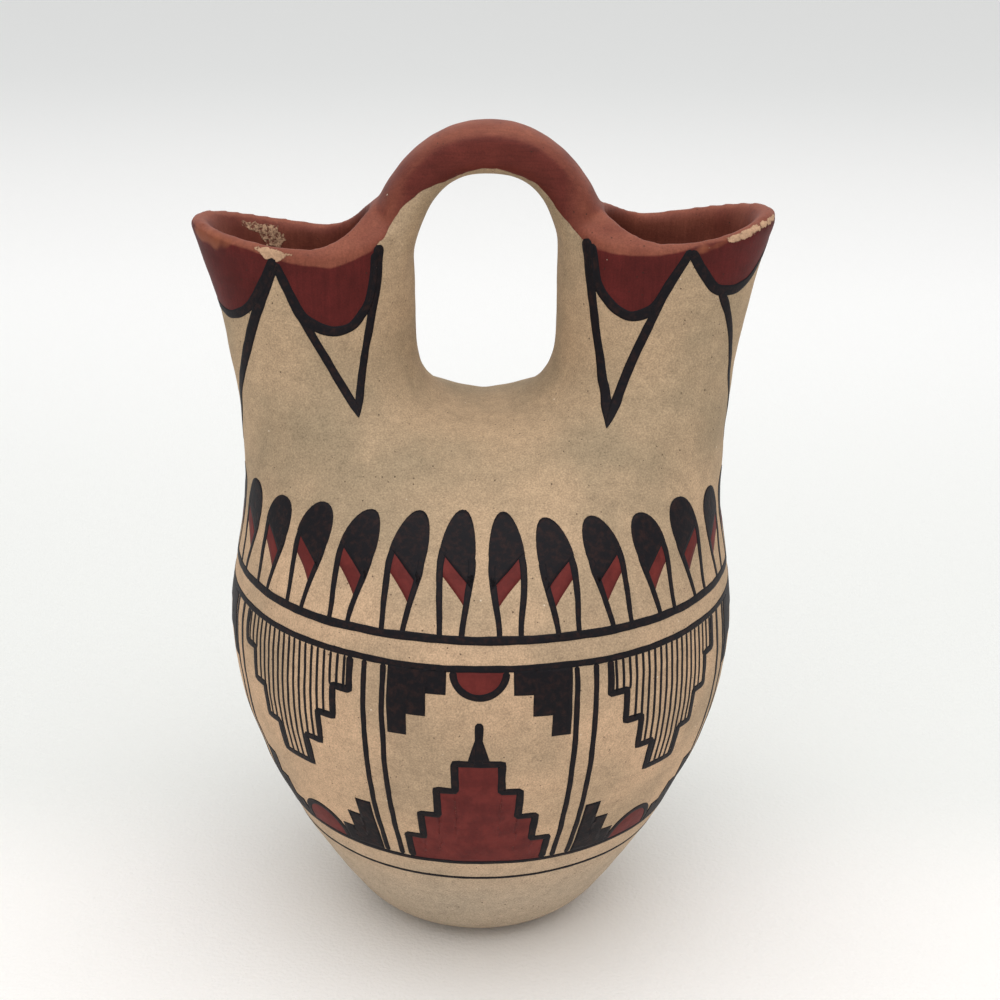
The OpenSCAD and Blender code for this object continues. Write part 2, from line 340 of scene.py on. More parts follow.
def ready(name, mesh, material):
    """Object for a mesh that rides on the vase's body."""
    if name in bpy.data.objects:
        bpy.data.objects.remove(bpy.data.objects[name])
    obj = placed(name, mesh)
    mesh.materials.clear()
    mesh.materials.append(material)
    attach(obj, "root")
    return obj


# ---- Materials

# Settings that many nodes share: a soft step, a product that is added on, and a mix of two colours
SOFT = {"interpolation_type": "SMOOTHSTEP"}
PLUS = {"operation": "MULTIPLY_ADD"}
COLOURS = {"data_type": "RGBA"}


def node(tree, kind, inputs=None, **settings):
    """Adds a node, with its settings, and its inputs by name or number: sockets are linked, values set.

    A node among the inputs is linked by the first output that it has in use.
    """
    made = tree.nodes.new(kind)
    for key, value in settings.items():
        setattr(made, key, value)
    for key, value in (inputs or {}).items():
        socket = made.inputs[key]
        if isinstance(value, bpy.types.Node):
            value = next(out for out in value.outputs if out.enabled)
        if isinstance(value, bpy.types.NodeSocket):
            tree.links.new(value, socket)
        else:
            socket.default_value = (*value, 1)[:4] if socket.type == "RGBA" else value
    return made


def begun(name):
    """A new material, what adds nodes to it, and the socket that gives the place on the piece in metres."""
    material = bpy.data.materials.new(name)
    material.use_nodes = True
    material.node_tree.nodes.clear()
    add = partial(node, material.node_tree)
    return material, add, add("ShaderNodeTexCoord").outputs["Object"]


def finished(material, add, colour, gloss, height, shine, relief=0.8, ior=1.45):
    """The material with its colour, roughness, relief in millimetres, and strength of the sheen."""
    bump = add("ShaderNodeBump", {"Strength": relief, "Distance": 0.001, "Height": height})
    shader = add("ShaderNodeBsdfPrincipled", {
        "Base Color": colour, "Roughness": gloss, "Normal": bump, "IOR": ior, "Specular IOR Level": shine})
    add("ShaderNodeOutputMaterial", {"Surface": shader})
    return material


def specks(add, place, scale, channel, sizes, soft, full=1.0):
    """Round specks in some of a pattern's cells: how much they cover each place.

    Sizes are the chance value at which a cell has the smallest and the largest speck, and their radii.
    """
    cells = add("ShaderNodeTexVoronoi", {"Vector": place, "Scale": scale, "Randomness": 1})
    chance = add("ShaderNodeSeparateColor", {0: cells.outputs["Color"]}).outputs[channel]
    reach = add("ShaderNodeMapRange", {0: chance, **dict(enumerate(sizes, 1))})
    inside = add("ShaderNodeMath", {0: reach, 1: cells.outputs["Distance"]}, operation="SUBTRACT")
    return add("ShaderNodeMapRange", {0: inside, 1: 0, 2: soft, 4: full}, **SOFT)


def fired_clay(looks):
    """Hand-coiled earthenware, stone-burnished over a sandy slip and fired in the open.

    The eye sees warm buff with slow cloudy tones, faint level burnishing strokes, fine sand with dark
    and glinting grains, a dull sheen, red slip with the brush's marks, and rough bare clay in chips.
    """
    material, add, place = begun("fired_buff_clay_with_red_slip")
    high = add("ShaderNodeSeparateXYZ", {0: place}).outputs[2]
    slip, band, bare, wear = (
        add("ShaderNodeAttribute", attribute_name=name).outputs["Fac"]
        for name in ("slip", "band", "bare", "wear"))
    # Cloudy tones of the open fire, about 28 mm across, mottles of 3 mm, the slip's patches of 7 mm, its
    # sand grain, drawn at 0.4 mm so that it shows, and crumbs of 1 mm in the chips
    cloud, mottle, patch, grain, crumb = (
        add("ShaderNodeTexNoise", {
            "Vector": place, "Scale": scale, "Detail": detail, "Roughness": rough})
        for scale, detail, rough in (
            (36, 3, 0.5), (330, 3, 0.6), (140, 3, 0.55), (2600, 2, 0.6), (1100, 4, 0.7)))
    # Level strokes of the burnishing stone, about 1.5 mm high and 10 mm long, and the marks of the slip's
    # brush, 0.7 mm apart: upright in the fields, and along the handle
    stroke, upright, along = (
        add("ShaderNodeTexNoise", {
            "Vector": add("ShaderNodeMapping", {"Vector": place, "Scale": stretch}),
            "Scale": 1, "Detail": 2, "Roughness": rough})
        for stretch, rough in (((100, 100, 650), 0.55), ((1500, 1500, 110), 0.6), ((110, 1100, 1400), 0.6)))

    cloud = add("ShaderNodeMapRange", {0: cloud, 1: 0.32, 2: 0.68}, **SOFT)
    clay = add("ShaderNodeMix", {0: cloud, 6: looks.clay_dark, 7: looks.clay}, **COLOURS)
    # Painted shade: the wall is greyer and darker round the foot, and darker and cooler above the shoulder
    foot = add("ShaderNodeMapRange", {0: high, 1: 0.046, 2: 0.016, 4: 0.8}, **SOFT)
    upper = add("ShaderNodeMapRange", {0: high, 1: 0.095, 2: 0.135}, **SOFT)
    clay = add("ShaderNodeMix", {0: foot, 6: clay, 7: looks.foot_shade}, **COLOURS)
    clay = add("ShaderNodeMix", {0: upper, 6: clay, 7: looks.shoulder_shade}, **COLOURS,
                blend_type="MULTIPLY")
    tone = 0.1
    for part, share in ((grain, 1.27), (stroke, 0.16), (mottle, 0.45)):
        tone = add("ShaderNodeMath", {0: part, 1: share, 2: tone}, **PLUS)
    clay = add("ShaderNodeVectorMath", {0: clay, "Scale": tone}, operation="SCALE")

    # Dark grit that burnt out to pits, in nearly half of the 1.4 mm cells, and mica in a few of 3.4 mm,
    # whose glints are painted as pale specks
    pit = specks(add, place, 700, 0, (0.56, 1, 0.02, 0.175), 0.04)
    glint = specks(add, place, 294, 1, (0.84, 0.9, 0, 0.075), 0.03)

    # Red slip, deeper in patches, lighter along the lip, where it is rubbed and where a painted highlight
    # lies on what faces up, and nearly rubbed off in places
    handle = add("ShaderNodeMapRange", {0: high, 1: 0.18, 2: 0.188})
    brush = add("ShaderNodeMix", {0: handle, 2: upright, 3: along})
    patch = add("ShaderNodeMapRange", {0: patch, 1: 0.3, 2: 0.7})
    field = add("ShaderNodeMix", {0: patch, 6: looks.slip_dark, 7: looks.slip}, **COLOURS)
    lip_rubbed_and_lit = add("ShaderNodeMix", {0: patch, 6: looks.lip_rubbed_and_lit_dark, 7: looks.lip_rubbed_and_lit}, **COLOURS)
    on_lip = add("ShaderNodeMapRange", {0: band, 1: -0.25, 2: 0.35}, **SOFT)
    red = add("ShaderNodeMix", {0: on_lip, 6: field, 7: lip_rubbed_and_lit}, **COLOURS)
    brushed = 0.375
    for part, share in ((brush, 0.55), (grain, 0.7)):
        brushed = add("ShaderNodeMath", {0: part, 1: share, 2: brushed}, **PLUS)
    red = add("ShaderNodeVectorMath", {0: red, "Scale": brushed}, operation="SCALE")
    worn = add("ShaderNodeMapRange", {0: wear, 1: -0.5, 2: 0.8, 4: 0.65}, **SOFT)
    red = add("ShaderNodeMix", {0: worn, 6: red, 7: looks.worn_lip}, **COLOURS)

    on_slip = add("ShaderNodeMapRange", {0: slip, 1: -0.12, 2: 0.12}, **SOFT)
    colour = add("ShaderNodeMix", {0: on_slip, 6: clay, 7: red}, **COLOURS)
    for speck, full, tint in ((pit, 0.7, looks.grit), (glint, 0.75, looks.mica_and_glint)):
        cover = add("ShaderNodeMath", {0: speck, 1: full}, operation="MULTIPLY")
        colour = add("ShaderNodeMix", {0: cover, 6: colour, 7: tint}, **COLOURS)

    # Chips bared to the rough, crumbly body
    shade = add("ShaderNodeMapRange", {0: crumb, 1: 0.3, 2: 0.7, 3: 0.62, 4: 1.12})
    broken = add("ShaderNodeVectorMath", {0: looks.broken_clay, "Scale": shade}, operation="SCALE")
    ragged = add("ShaderNodeMath", {0: crumb, 1: bare}, operation="ADD")
    on_chip = add("ShaderNodeMapRange", {0: ragged, 1: 0.4, 2: 0.58}, **SOFT)
    colour = add("ShaderNodeMix", {0: on_chip, 6: colour, 7: broken}, **COLOURS)

    # Heights in millimetres: sand, strokes, mottles, pits, the slip's thickness and the crumbly chips
    rough = add("ShaderNodeMath", {0: on_chip, 1: crumb}, operation="MULTIPLY")
    height = 0.0
    for part, share in (
            (grain, 0.05), (stroke, 0.09), (mottle, 0.07), (pit, -0.12), (on_slip, 0.06), (rough, 0.5)):
        height = add("ShaderNodeMath", {0: part, 1: share, 2: height}, **PLUS)
    gloss = add("ShaderNodeMapRange", {0: on_slip, 3: 0.7, 4: 0.52})
    gloss = add("ShaderNodeMath", {0: grain, 1: 0.12, 2: gloss}, **PLUS)
    gloss = add("ShaderNodeMath", {0: on_chip, 1: 0.25, 2: gloss}, **PLUS, use_clamp=True)
    return finished(material, add, colour, gloss, height, 0.16)


def black_paint(looks):
    """Boiled-plant and iron-ore paint, brushed on and fired.

    The eye sees a matt brown-black that thins to marbled brown, darker where the brush left a rim.
    """
    material, add, place = begun("brushed_mineral_black_paint")
    edge = add("ShaderNodeAttribute", attribute_name="edge").outputs["Fac"]
    # Marbling where the paint is thin, about 1.6 mm across, with a fine grain of 0.5 mm
    marble = add("ShaderNodeTexNoise", {"Vector": place, "Scale": 620, "Detail": 4, "Roughness": 0.65})
    thin = add("ShaderNodeMapRange", {0: marble, 1: 0.42, 2: 0.72}, **SOFT)
    inside = add("ShaderNodeMapRange", {0: edge, 1: 0.12, 2: 0.55}, **SOFT)
    thin = add("ShaderNodeMath", {0: thin, 1: inside}, operation="MULTIPLY")
    colour = add("ShaderNodeMix", {0: thin, 6: looks.black, 7: looks.thin_black}, **COLOURS)
    grain = add("ShaderNodeTexNoise", {"Vector": place, "Scale": 1900, "Detail": 2, "Roughness": 0.6})
    tone = add("ShaderNodeMath", {0: grain, 1: 0.7, 2: 0.65}, **PLUS)
    colour = add("ShaderNodeVectorMath", {0: colour, "Scale": tone}, operation="SCALE")
    # Clay shows through in a few of the 2.4 mm cells
    bared = specks(add, place, 420, 2, (0.82, 1, 0, 0.07), 0.03, 0.6)
    colour = add("ShaderNodeMix", {0: bared, 6: colour, 7: looks.clay_dark}, **COLOURS)
    height = add("ShaderNodeMath", {0: grain, 1: 0.05}, operation="MULTIPLY")
    height = add("ShaderNodeMath", {0: thin, 1: -0.04, 2: height}, **PLUS)
    gloss = add("ShaderNodeMath", {0: grain, 1: 0.15, 2: 0.5}, **PLUS)
    return finished(material, add, colour, gloss, height, 0.13)


def red_paint(looks):
    """Red iron-oxide clay paint, brushed on between the black lines and fired.

    The eye sees a flat brick red with faint strokes and a slightly thinner, lighter middle.
    """
    material, add, place = begun("brushed_red_ochre_paint")
    edge = add("ShaderNodeAttribute", attribute_name="edge").outputs["Fac"]
    # Brush strokes that rise at a slant, 0.8 mm apart and 8 mm long
    slant = add("ShaderNodeMapping", {
        "Vector": place, "Rotation": (0.5, 0.4, 0), "Scale": (1200, 1200, 140)})
    brush = add("ShaderNodeTexNoise", {"Vector": slant, "Scale": 1, "Detail": 3, "Roughness": 0.6})
    patch = add("ShaderNodeTexNoise", {"Vector": place, "Scale": 230, "Detail": 3, "Roughness": 0.55})
    patch = add("ShaderNodeMapRange", {0: patch, 1: 0.3, 2: 0.7}, **SOFT)
    inside = add("ShaderNodeMapRange", {0: edge, 1: 0.2, 2: 1.6, 3: 0.35, 4: 1})
    thin = add("ShaderNodeMath", {0: patch, 1: inside}, operation="MULTIPLY")
    colour = add("ShaderNodeMix", {0: thin, 6: looks.red_dark, 7: looks.red}, **COLOURS)
    grain = add("ShaderNodeTexNoise", {"Vector": place, "Scale": 1700, "Detail": 2, "Roughness": 0.6})
    tone = add("ShaderNodeMath", {0: brush, 1: 0.35, 2: 0.68}, **PLUS)
    tone = add("ShaderNodeMath", {0: grain, 1: 0.3, 2: tone}, **PLUS)
    colour = add("ShaderNodeVectorMath", {0: colour, "Scale": tone}, operation="SCALE")
    height = add("ShaderNodeMath", {0: grain, 1: 0.05}, operation="MULTIPLY")
    height = add("ShaderNodeMath", {0: brush, 1: 0.05, 2: height}, **PLUS)
    gloss = add("ShaderNodeMath", {0: grain, 1: 0.15, 2: 0.5}, **PLUS)
    return finished(material, add, colour, gloss, height, 0.15)


def studio_paper(stage):
    """Matt background paper, seamless, with tones of painted light and shadow that change slowly from front
    to back.

    The eye sees one even, pale sheet with no visible grain, on which only the soft shadow shows.
    """
    material, add, place = begun("matt_studio_paper")
    away = add("ShaderNodeSeparateXYZ", {0: place}).outputs[1]
    colour = stage.paper_near
    # Each tone starts and is full at a distance behind the vase's middle, in metres: a painted shadow close
    # behind the vase, a painted pool of light further back, and painted dimming far away
    for start, full, tone in (
            (-0.02, 0.06, stage.paper_shadow_behind), (0.12, 0.7, stage.paper_bright), (0.85, 1.7, stage.paper_far_dimmed)):
        share = add("ShaderNodeMapRange", {0: away, 1: start, 2: full}, **SOFT)
        colour = add("ShaderNodeMix", {0: share, 6: colour, 7: tone}, **COLOURS)
    fibre = add("ShaderNodeTexNoise", {"Vector": place, "Scale": 900, "Detail": 3})
    return finished(material, add, colour, 0.9, fibre, 0.5, relief=0.3, ior=1.5)


# ---- Properties


class VaseClayProperties(bpy.types.PropertyGroup):
    grain_step: amount("Mesh step", "Size of the squares that the clay's surface is made of",
                       0.00085, 0.0007, 0.003, "LENGTH")
    calm_share: FloatProperty(
        name="Share kept", description="Share of the mesh that is kept when the calm parts are made coarser",
        default=0.37, min=0.2, max=1, subtype="FACTOR")
    smoothing: IntProperty(
        name="Smoothing", description="Rounds of smoothing that take the mesh's steps off",
        default=60, min=0, max=120)
    unevenness: amount("Unevenness", "How far the hand-made wall wavers", 0.00028, 0, 0.001, "LENGTH")
    clay: swatch("Clay", "Buff clay where it is palest", "#C6A687")
    clay_dark: swatch("Clouded clay", "Buff clay where the fire darkened it", "#AC9479")
    # Painted shade: a darker, cooler tint above the shoulder, and greyer, darker clay round the foot
    shoulder_shade: swatch("High clay", "Tint of the clay above the shoulder", "#E7ECEB")
    foot_shade: swatch("Foot clay", "Greyer clay round the foot", "#B2A38F")
    slip: swatch("Slip", "Red slip in the fields under the lip", "#5C1F1D")
    slip_dark: swatch("Thick slip", "Red slip where it lies thickest", "#4A1715")
    # The lip's colours: slip rubbed lighter, and a painted highlight where the lip and the handle's top face
    # up and inside the spouts
    lip_rubbed_and_lit: swatch("Lip", "Lighter, rubbed slip along the lip", "#8A503E")
    lip_rubbed_and_lit_dark: swatch("Lip's deeper tone", "Rubbed slip where less has worn off", "#774032")
    worn_lip: swatch("Worn lip", "Slip worn nearly through on the lip", "#96593F")
    broken_clay: swatch("Broken clay", "Body bared in the chips", "#C8A283")
    grit: swatch("Grit", "Dark grit and pits", "#33261F")
    # Mica grains, with their glints painted into the colour as pale specks
    mica_and_glint: swatch("Mica", "Glinting grains", "#EADBC4")


class VasePaintProperties(bpy.types.PropertyGroup):
    black_film: amount("Black film", "How far the black paint stands above the clay",
                       0.00009, 0.00002, 0.0003, "LENGTH")
    red_film: amount("Red film", "How far the red paint stands above the clay",
                     0.00005, 0.00002, 0.0003, "LENGTH")
    outline: amount("Outline", "Width of the band's outlines", 0.0018, 0.0005, 0.004, "LENGTH")
    hatching: amount("Hatching", "Width of the fine hatching lines", 0.00065, 0.0003, 0.002, "LENGTH")
    black: swatch("Black", "Black paint where it is thick", "#141216")
    thin_black: swatch("Thin black", "Black paint where the clay warms it", "#2A1C1B")
    red: swatch("Red", "Red paint where it is thin", "#6E2B27")
    red_dark: swatch("Deep red", "Red paint where it is thick", "#5A211F")
    clay_dark: swatch("Clay in the paint", "Clay that shows through in specks", "#937B63")


class VaseStageProperties(bpy.types.PropertyGroup):
    paper_near: swatch("Paper in front", "Background paper under and before the vase", "#F9F7F4")
    # Painted light on the paper: a shadow close behind the vase, a pool of light, and dimming in the distance
    paper_shadow_behind: swatch("Paper behind", "Background paper close behind the vase", "#EBECE9")
    paper_bright: swatch("Bright paper", "Background paper where the room's light falls on it", "#FFFFFE")
    paper_far_dimmed: swatch("Paper far away", "Background paper in the distance", "#F6F7F6")
    lens: amount("Lens", "Focal length of the camera", 64.8, 20, 200, "CAMERA")
    pitch: amount("Pitch", "How far the camera looks down", math.radians(20.72), 0, 1.5, "ROTATION")
    roll: amount("Roll", "How far the camera leans", math.radians(0.85), -0.2, 0.2, "ROTATION")
    top_lamp: amount("Top lamp", "Power of the soft lamp overhead", 6.8, 0, 200, "POWER")
    front_lamp: amount("Front lamp", "Power of the soft lamp before the vase", 1.0, 0, 200, "POWER")
    ceiling: amount("Ceiling light", "Strength of the even light from above", 0.57, 0, 10)
    room: amount("Room light", "Strength of the light from all round", 0.55, 0, 2)


# ---- Pieces


def smoothed(co, edges, rounds):
    """Places after a smoothing that keeps the volume."""
    count = np.bincount(edges.ravel(), minlength=len(co))[:, None]
    for _ in range(rounds):
        for share in (0.63, -0.67):
            total = np.stack([
                np.bincount(edges[:, 0], co[edges[:, 1], k], len(co))
                + np.bincount(edges[:, 1], co[edges[:, 0], k], len(co)) for k in range(3)], 1)
            co = co + share * (total / count - co)
    return co


def directions(mesh):
    """Unit directions out of the surface at its points."""
    out = np.empty(len(mesh.vertices) * 3, np.float32)
    mesh.vertex_normals.foreach_get("vector", out)
    return out.reshape(-1, 3)


def outward(out, way, h, y):
    """How far directions point away from the middle line of a spout or of the belly, -1 to 1."""
    return (out[:, 0] * way * h + out[:, 1] * y) / (np.hypot(h, y) + 1e-6)


def applied(draft):
    """The mesh of a draft object with its modifiers applied, in the draft's place."""
    made = bpy.data.meshes.new_from_object(draft.evaluated_get(bpy.context.evaluated_depsgraph_get()))
    bpy.data.objects.remove(draft)
    return made


def lightened(mesh, share):
    """The mesh with fewer faces on the belly and deep inside the spouts, which are smooth."""
    x, y, z = corners(mesh).T * 1000
    h = np.where(z > WAIST_H, np.abs(x) - spout_middle(z), np.abs(x))
    belly_top, deep, gap_side = 112, 160, 23
    inside = (outward(directions(mesh), np.sign(x), h, y) < -0.3) & (np.abs(x) > gap_side)
    calm = (z < belly_top) | inside & (z < deep)
    draft = placed("draft", mesh)
    draft.vertex_groups.new(name="calm").add(np.flatnonzero(calm).tolist(), 1.0, "REPLACE")
    fewer = draft.modifiers.new("fewer", "DECIMATE")
    fewer.ratio, fewer.vertex_group, fewer.vertex_group_factor = share, "calm", 1000
    return applied(draft)


# Signed distance, in millimetres, of all that lies nowhere near a mark
FAR_OUT = -50.0


def nearness(co, blobs):
    """How far each place lies inside the nearest of some sausages, each two ends and two radii."""
    best = np.full(len(co), FAR_OUT)
    for a, b, ra, rb in blobs:
        a, b = np.array(a, float), np.array(b, float)
        t = np.clip(((co - a) @ (b - a)) / max((b - a) @ (b - a), 1e-9), 0, 1)
        best = np.maximum(best, ra + (rb - ra) * t - np.linalg.norm(co - (a + (b - a) * t[:, None]), axis=1))
    return best


def lip_run(side, stops):
    """Sausages along a spout's lip: each stop is an angle, a radius, and how far down it lies."""
    spots = [(lip_point(side, a, down), r) for a, r, down in stops]
    return [(p, q, r, s) for (p, r), (q, s) in zip(spots, spots[1:])]


# Chips that bare the clay in the two lips, the flake off the left spout's back rim, and rubbed slip
CHIPS = (
    lip_run(-1, [(-86.5, 0.4, 1.1), (-83, 0.8, 1.3), (-79, 1.4, 1.7), (-74, 1.3, 1.3), (-69.5, 0.6, 0.7)])
    + lip_run(1, [(-12, 0.55, 0.8), (-22, 0.75, 0.8), (-30, 0.8, 0.9), (-37, 0.8, 1.0), (-44, 0.95, 1.1),
                  (-50, 0.95, 1.2), (-55, 0.8, 1.2), (-59, 0.35, 1.1)])
    + lip_run(1, [(-66, 0.25, 1.4), (-71, 0.45, 1.6)])
    + lip_run(1, [(-76, 0.3, 1.7), (-79, 0.4, 1.8)])
)
FLAKE = [
    ((-53.6, 15.2, 172.4), (-52.2, 15.5, 171.2), 2.5, 2.7),
    ((-55.2, 14.4, 174.0), (-51.4, 15.8, 173.4), 1.2, 0.8),
    ((-60.5, 11.0, 176.4), (-55.2, 14.0, 173.8), 0.15, 1.0),
    ((-52.4, 15.6, 170.0), (-51.6, 15.6, 168.4), 2.2, 1.0),
]
WORN = (
    lip_run(-1, [(-20, 0.8, 1.4), (-32, 1.7, 1.9), (-44, 1.7, 1.8), (-54, 0.8, 1.2), (-70, 0.5, 0.8)])
    + lip_run(1, [(-59, 0.6, 1.3), (-66, 0.9, 1.6), (-74, 0.8, 1.9), (-80, 0.4, 2.0)])
)


def slip_wear_and_highlight(co, out):
    """Signed distances in millimetres, more than 0 inside: red slip, lighter lip (worn slip and a painted
    highlight), bare chips and wear.
    """
    x, y, z = co.T
    spouts_from, slip_ends_inside, handle_end, gap_angle = 118, 150, 24.6, 142
    wave = wavering(co, 5.0) * 0.25 + wavering(co, 1.6, 9.0) * 0.12
    slip, band = np.full(len(co), FAR_OUT), np.full(len(co), FAR_OUT)
    for side in (-1, 1):
        here = (x * side > 0) & (z > spouts_from)
        h = np.abs(x) - spout_middle(z)
        a = np.degrees(np.arctan2(np.abs(y), h))
        facing = outward(out, side, h, y)
        walls = z - np.interp(a, *np.array(SCALLOPS[side]).T)
        handle = z - np.interp(np.abs(x), *np.array(HANDLE_EDGES[side]).T) + wave * 1.5
        outside = np.where((np.abs(x) > handle_end) & (a < gap_angle), walls, handle)
        inside = z - slip_ends_inside + wavering(co, 9.0, 4.0) * 4
        slip = np.where(here, np.where(facing < -0.05, inside, outside), slip)
        # The lighter band covers what faces up, the handle's top too, as a painted highlight; it ends below
        # in a line, partly worn slip, and fades toward the handle. Inside the spouts it is a painted lighter
        # tone, more in the right one
        lower = np.clip(z - np.interp(a, *np.array(LIP_BANDS[side]).T) + wave * 0.6, -1, 0.5)
        fade = np.maximum((np.abs(x) - 19) * 0.05, -0.08)
        upper = (out[:, 2] - 0.62) * 1.3 + wave * 0.1
        inner = np.maximum(upper, 0.11 + 0.03 * side + 0.08 * wavering(co, 7.0, 12.0))
        outer = np.maximum(np.minimum(lower, fade), upper)
        band = np.where(here, inner + (outer - inner) * ease((facing + 0.3) / 0.3), band)
    bare = nearness(co, CHIPS) + wavering(co, 1.2, 3.0) * 0.3
    flake = np.minimum(nearness(co, FLAKE) + wavering(co, 2.2, 7.0) * 0.9, 0.03)
    wear = nearness(co, WORN) + wavering(co, 2.5, 6.0) * 0.6
    return {"slip": slip, "band": band, "bare": np.maximum(bare, flake), "wear": wear}


# The fewest faces that a whole vase can have, and the height above which it is rubbed smoother
FEWEST_FACES, RUBBED_H = 20000, 167


class VASE_OT_clay_body(bpy.types.Operator):
    """Make the clay vessel from its solid: evened, smoothed, slightly wavering, chipped and slipped"""

    bl_idname = "vase.clay_body"
    bl_label = "Clay body"

    def execute(self, context):
        made = context.scene.vase_clay
        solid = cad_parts["vase"]
        source = solid.data.copy()
        source.transform(solid.matrix_world)
        draft = placed("draft", source)
        draft.modifiers.new("weld", "WELD").merge_threshold = 0.00001
        even = draft.modifiers.new("even", "REMESH")
        even.mode, even.voxel_size = "VOXEL", made.grain_step
        mesh = applied(draft)
        if len(mesh.polygons) < FEWEST_FACES:
            raise RuntimeError("the clay's mesh came out empty")
        edges = np.empty(len(mesh.edges) * 2, np.int64)
        mesh.edges.foreach_get("vertices", edges)
        edges = edges.reshape(-1, 2)
        co = smoothed(corners(mesh), edges, made.smoothing) * 1000
        # The rims and the handle are rubbed smoother than the wall
        top = co[:, 2] > RUBBED_H - 2
        number = np.cumsum(top) - 1
        rubbed = smoothed(co[top], number[edges[top[edges].all(1)]], made.smoothing)
        co[top] += (rubbed - co[top]) * ease((co[top][:, 2] - RUBBED_H) / 4)[:, None]
        mesh.vertices.foreach_set("co", (co / 1000).ravel())
        mesh = lightened(mesh, made.calm_share)
        co = corners(mesh) * 1000
        out = directions(mesh)
        # The wall wavers in lumps of 26 and 9 mm, less than half as high as wide, and not at the foot
        places = co * np.array([1, 1, 2.2])
        waver = wavering(places, 26.0, 1.0) * 0.85 + wavering(places, 9.0, 5.0) * 0.15
        co += out * (waver * made.unevenness * 1000 * ease(co[:, 2] / 12))[:, None]
        marks = slip_wear_and_highlight(co, out)
        # The chips are crumbly, the foot is flat, and nothing stands outside the solid's box
        bitten = ease(marks["bare"] / 0.6) * (0.22 + 0.2 * wavering(co, 1.3, 8.0))
        co -= out * np.maximum(bitten, 0)[:, None]
        low, high = (np.array(c) * 1000 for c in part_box("vase"))
        co[:, 2] = np.where(co[:, 2] < 0.35, low[2], co[:, 2])
        aside = np.array([0.1, 0.1, 0])
        co = np.clip(co, low + aside, high - aside)
        mesh.vertices.foreach_set("co", (co / 1000).ravel())
        mesh.update()
        mesh.shade_smooth()
        for name, values in marks.items():
            mark(mesh, name, values)
        body = ready("clay_body", mesh, fired_clay(made))
        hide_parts("vase")
        return {"FINISHED"}


class VASE_OT_rim_paint(bpy.types.Operator):
    """Paint the black scallops and darts round both spouts"""

    bl_idname = "vase.rim_paint"
    bl_label = "Rim paint"

    def execute(self, context):
        made = context.scene.vase_paint
        wall, film = films(made, 11)
        for side, lines in SPOUT_LINES.items():
            for back in (-1, 1):
                for points in lines:
                    line = curved(points)
                    film.stroke([wall.spout(side, back * a, z) for a, z, _ in line], line[:, 2])
        film.piece("rim_black", black_paint(made))
        return {"FINISHED"}


def stepped(s, z, way, steps, centre=True):
    """Two lines of a solid stepped shape that stands on a level, or hangs from it, in one piece.

    Each step is how far its end lies from s, and how high the shape is up to there.
    """
    s_at, tall, last = [], [], 0.0
    for far, high in steps:
        count = max(int(abs(far - last) / Film.cell), 1)
        s_at += list(np.linspace(last, far - math.copysign(0.02, far - last), count + 1))
        tall += [high] * (count + 1)
        last = far
    s_at, tall = np.array(s_at), np.array(tall)
    if centre:
        s_at, tall = np.concatenate([-s_at[::-1], s_at[1:]]), np.concatenate([tall[::-1], tall[1:]])
    flat = np.stack([s + s_at, np.full(len(s_at), z)], 1)
    edge = np.stack([s + s_at, z + way * tall], 1)
    return (flat, edge) if way * (s_at[-1] - s_at[0]) > 0 else (edge, flat)


def half_disc(s, z, radius, up):
    """Lower and upper line of a half-disc that stands on a level, or hangs from it."""
    t = np.linspace(math.pi, 0, 15)
    flat = np.stack([s + radius * np.cos(t), z + 0 * t], 1)
    round_ = np.stack([s + radius * np.cos(t), z + up * radius * np.sin(t)], 1)
    return (flat, round_) if up > 0 else (round_, flat)


def steps_line(s, z, way, widths):
    """Corner points of a stepped pyramid, from one foot over its top to the other."""
    left, right = [], []
    for i, w in enumerate(widths):
        here, above = z + way * i * STEP_RISE, z + way * (i + 1) * STEP_RISE
        left += [(s - w, here), (s - w, above)]
        right += [(s + w, here), (s + w, above)]
    return left + right[::-1]


